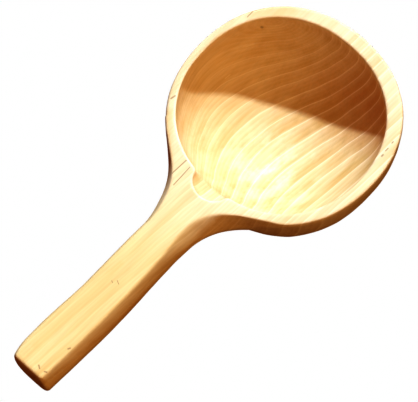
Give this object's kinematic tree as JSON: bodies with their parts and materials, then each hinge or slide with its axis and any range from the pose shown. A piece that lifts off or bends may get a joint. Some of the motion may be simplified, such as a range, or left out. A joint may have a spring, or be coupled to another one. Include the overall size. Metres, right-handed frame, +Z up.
{
  "type": "ladle",
  "caption": "Plain wooden ladle carved in one piece: a deep round bowl with a flat foot and a short stout handle whose top runs level with the rim.",
  "frame": {"origin": "centre of the flat foot under the bowl", "axes": "+Z up out of the bowl's mouth, the handle points along -Y"},
  "size_m": [0.1208, 0.2521, 0.052],
  "materials": {
    "pale_wood": "bare, knife-cut and sanded, unpainted"
  },
  "bodies": {
    "root": {"ladle": "pale_wood"}
  },
  "joints": []
}
